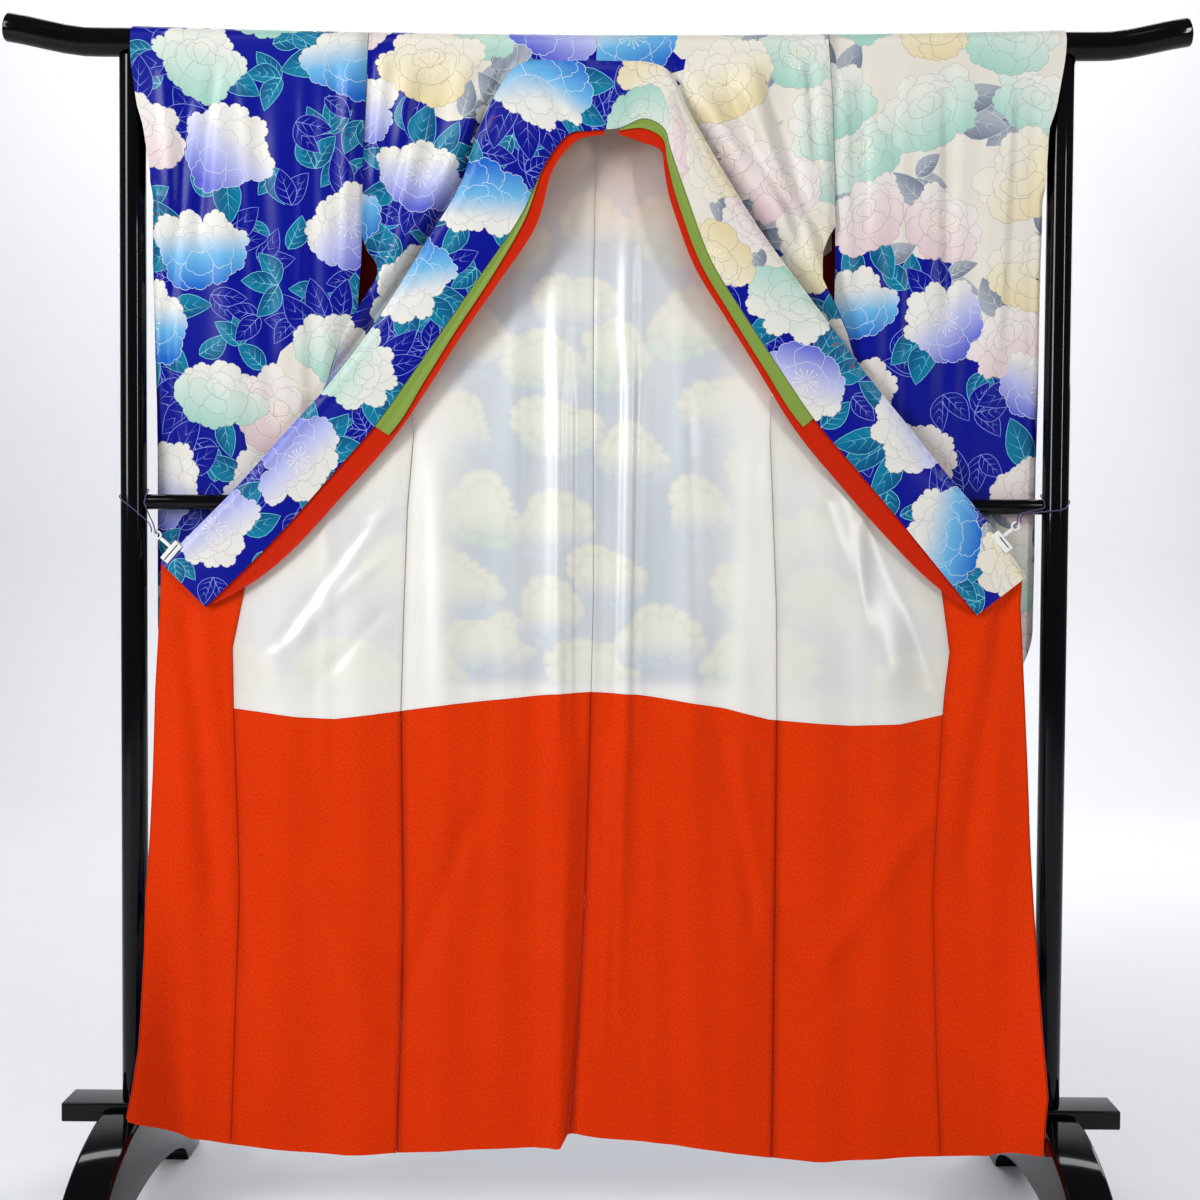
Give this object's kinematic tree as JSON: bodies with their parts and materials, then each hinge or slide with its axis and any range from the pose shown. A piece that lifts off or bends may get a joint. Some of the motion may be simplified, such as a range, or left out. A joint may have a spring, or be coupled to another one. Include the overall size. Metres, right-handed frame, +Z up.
{
  "type": "furisode kimono on a kimono stand",
  "caption": "Long-sleeved furisode kimono hung open over the top bar of a black lacquered stand, wide collar, white and orange linings shown.",
  "frame": {"origin": "middle of the footprint on the floor, under the middle of the bounding box", "axes": "+Z up, -Y towards the viewer of the open robe, +X to that viewer's right along the top bar"},
  "size_m": [1.762, 0.58, 1.8012],
  "materials": {
    "lacquer_black": "high-gloss black lacquer",
    "printed_silk": "satin-woven silk, deep blue ground with printed flowers",
    "white_lining_silk": "thin white silk, slightly see-through",
    "orange_lining_silk": "vermilion crepe silk",
    "red_sleeve_lining": "dark red crepe silk",
    "red_collar_lining": "red silk",
    "green_inner_collar": "yellow-green silk",
    "white_clip_plastic": "white glossy plastic",
    "purple_cord": "thin dark purple twisted cord"
  },
  "bodies": {
    "root": {"base_rail": "lacquer_black", "body_left": "printed_silk", "body_right": "printed_silk", "clip_arm_left": "white_clip_plastic", "clip_arm_right": "white_clip_plastic", "clip_left": "white_clip_plastic", "clip_right": "white_clip_plastic", "clip_ring_left": "white_clip_plastic", "clip_ring_right": "white_clip_plastic", "collar": "printed_silk", "collar_lining_left": "red_collar_lining", "collar_lining_right": "red_collar_lining", "foot_left": "lacquer_black", "foot_right": "lacquer_black", "front_left": "printed_silk", "front_right": "printed_silk", "hakkake_back_left": "orange_lining_silk", "hakkake_back_right": "orange_lining_silk", "hakkake_front_left": "orange_lining_silk", "hakkake_front_right": "orange_lining_silk", "hakkake_okumi_left": "orange_lining_silk", "hakkake_okumi_right": "orange_lining_silk", "inner_collar_left": "green_inner_collar", "inner_collar_right": "green_inner_collar", "lining_back_left": "white_lining_silk", "lining_back_right": "white_lining_silk", "lining_front_left": "white_lining_silk", "lining_front_right": "white_lining_silk", "mid_bar": "lacquer_black", "okumi_left": "printed_silk", "okumi_right": "printed_silk", "post_left": "lacquer_black", "post_right": "lacquer_black", "sleeve_left_back": "printed_silk", "sleeve_left_front": "printed_silk", "sleeve_left_lining": "red_sleeve_lining", "sleeve_right_back": "printed_silk", "sleeve_right_front": "printed_silk", "sleeve_right_lining": "red_sleeve_lining", "tie_left": "purple_cord", "tie_right": "purple_cord", "top_bar": "lacquer_black"}
  },
  "joints": []
}
